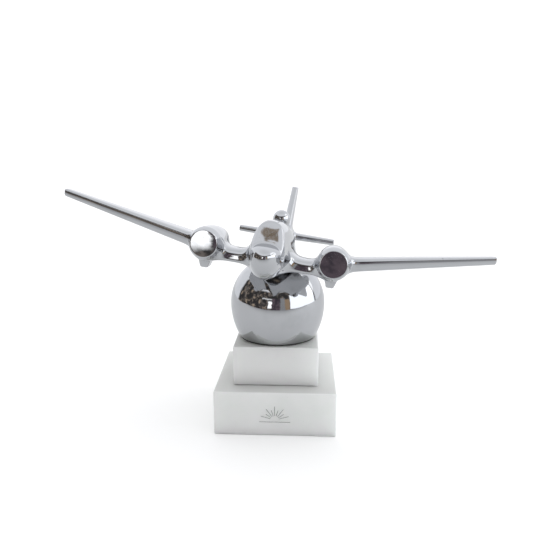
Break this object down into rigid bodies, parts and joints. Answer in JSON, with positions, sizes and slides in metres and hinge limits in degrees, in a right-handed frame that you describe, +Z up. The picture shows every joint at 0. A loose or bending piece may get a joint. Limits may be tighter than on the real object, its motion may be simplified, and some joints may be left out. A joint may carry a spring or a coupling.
{
  "type": "desktop airliner model",
  "caption": "Chromed twin-engined airliner on a ball joint above a chrome globe, which is bolted to a stepped frosted glass plinth.",
  "frame": {"origin": "the middle of the plinth's underside, on the table", "axes": "+Z up, -Y out of the plinth's front face (the aeroplane's nose points that way, 2.7 degrees towards -X), +X to the right as seen from the front"},
  "size_m": [0.2956, 0.2039, 0.1799],
  "materials": {
    "chrome": "bright chromium plate on a casting, lightly worn",
    "steel": "plain turned steel",
    "brass": "plain turned brass",
    "frosted_glass": "frosted, slightly green, with ground edges",
    "felt": "felt",
    "rubber": "matt",
    "nylon": "natural nylon"
  },
  "bodies": {
    "stand": {"base_felt": "felt", "lower_plinth": "frosted_glass", "upper_plinth": "frosted_glass", "tie_bolt": "steel", "tie_bolt_washer": "rubber", "tie_bolt_nut": "steel", "globe_base_plate": "steel", "globe_gasket": "rubber", "globe_shell": "chrome", "swivel_bush": "brass"},
    "swivel_stud": {"ball_stud": "steel", "swivel_washer": "steel", "swivel_nut": "steel"},
    "ball_seat": {"ball_liner": "nylon"},
    "aircraft": {"fuselage": "chrome", "socket_retaining_ring": "brass", "socket_upper_cup": "brass", "wing_spar_rod": "steel", "centre_wing_left": "chrome", "centre_wing_right": "chrome", "nacelle_left": "chrome", "nacelle_right": "chrome", "outer_wing_left": "chrome", "outer_wing_right": "chrome", "undercarriage_stub_left": "chrome", "undercarriage_stub_right": "chrome", "tailplane": "chrome", "fin": "chrome", "tail_screw": "steel"},
    "clamp_pad": {"pressure_pad": "brass"},
    "clamp_knob": {"clamp_knob": "chrome", "clamp_screw": "steel"}
  },
  "joints": [
    {"name": "heading_swivel", "type": "hinge", "parent": "stand", "child": "swivel_stud", "pos_m": [0, 0, 0.136], "axis": [0, 0, 1], "continuous": true},
    {"name": "pitch_tilt", "type": "hinge", "parent": "swivel_stud", "child": "ball_seat", "pos_m": [0, 0, 0.136], "axis": [0.9989, -0.0475, 0], "range_deg": [-6, 8]},
    {"name": "bank_tilt", "type": "hinge", "parent": "ball_seat", "child": "aircraft", "pos_m": [0, 0, 0.136], "axis": [0.0473, 0.9964, -0.0698], "range_deg": [-20, 3.6]},
    {"name": "clamp_travel", "type": "slide", "parent": "aircraft", "child": "clamp_pad", "axis": [0.149, 0.062, 0.9869], "range_m": [0, 0.0016]},
    {"name": "clamp_turn", "type": "hinge", "parent": "clamp_pad", "child": "clamp_knob", "pos_m": [0, 0, 0.136], "axis": [0.149, 0.062, 0.9869], "range_deg": [0, 720]}
  ],
  "couplings": [
    {"joint": "clamp_travel", "follows": "clamp_turn", "m_per_rad": 0.00012732}
  ]
}
